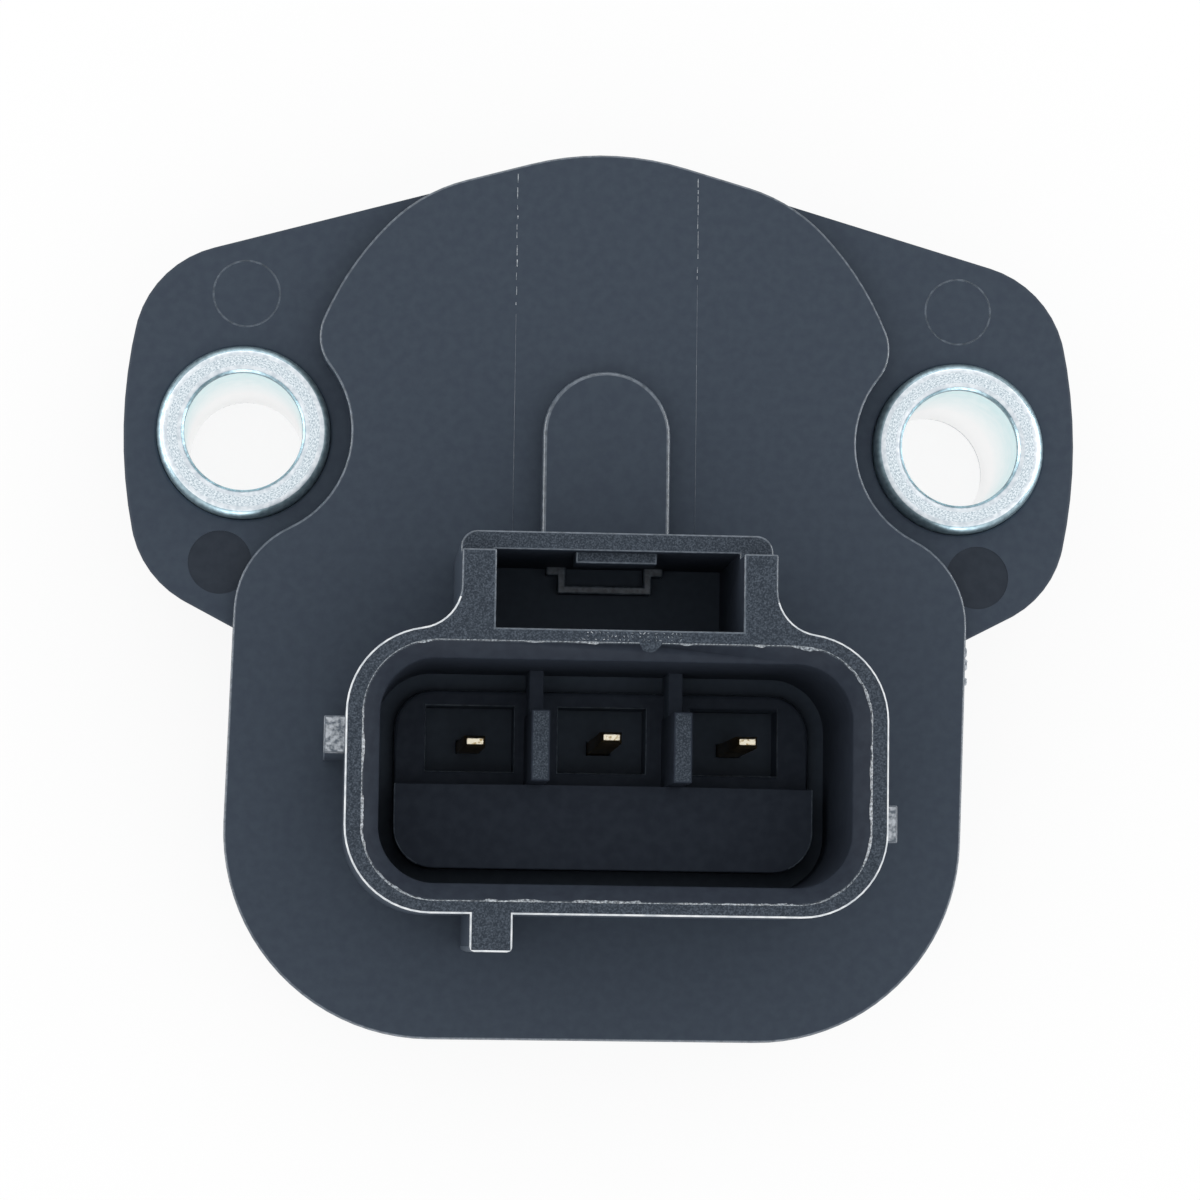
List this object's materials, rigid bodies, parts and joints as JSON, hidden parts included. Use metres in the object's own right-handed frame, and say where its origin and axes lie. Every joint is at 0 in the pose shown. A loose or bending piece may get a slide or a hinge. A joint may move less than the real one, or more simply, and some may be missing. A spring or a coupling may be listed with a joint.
{
  "type": "throttle position sensor",
  "caption": "Rotary throttle position sensor with two bushed ears, a keyed plug socket with latch hood and a spring-returned drive rotor.",
  "frame": {"origin": "middle between the two bolt holes in the plane of the mounting face, which is on the rotor axis", "axes": "+Z along the rotor axis, away from the mounting face and towards the plug socket's mouth; +X through both bolt holes; the plug socket lies towards -Y"},
  "size_m": [0.0506, 0.0467, 0.0234],
  "materials": {
    "housing": "moulded, fine grain",
    "bushing": "zinc plated, turned",
    "terminal": "stamped, plated tip",
    "clip": "stamped spring sheet",
    "potting": "cast resin",
    "resistor_plate": "printed substrate",
    "wiper": "stamped spring sheet",
    "rotor": "moulded",
    "washer": "moulded",
    "spring": "drawn spring wire",
    "seal": "moulded",
    "cover": "moulded"
  },
  "bodies": {
    "body": {"housing": "housing", "bushing_left": "bushing", "bushing_right": "bushing", "terminal_left": "terminal", "terminal_middle": "terminal", "terminal_right": "terminal", "clip_left": "clip", "clip_middle": "clip", "clip_right": "clip", "potting": "potting", "resistor_plate": "resistor_plate", "thrust_washer": "washer", "return_spring": "spring", "shaft_seal": "seal", "cover": "cover", "cover_gasket": "seal"},
    "rotor": {"rotor": "rotor", "wiper": "wiper"}
  },
  "joints": [
    {"name": "rotor_turn", "type": "hinge", "parent": "body", "child": "rotor", "pos_m": [0, 0, 0.005], "axis": [0, 0, 1], "range_deg": [0, 100], "stiffness_Nm_per_rad": 0.01, "springref_deg": -28.65, "deforming": ["return_spring"]}
  ]
}
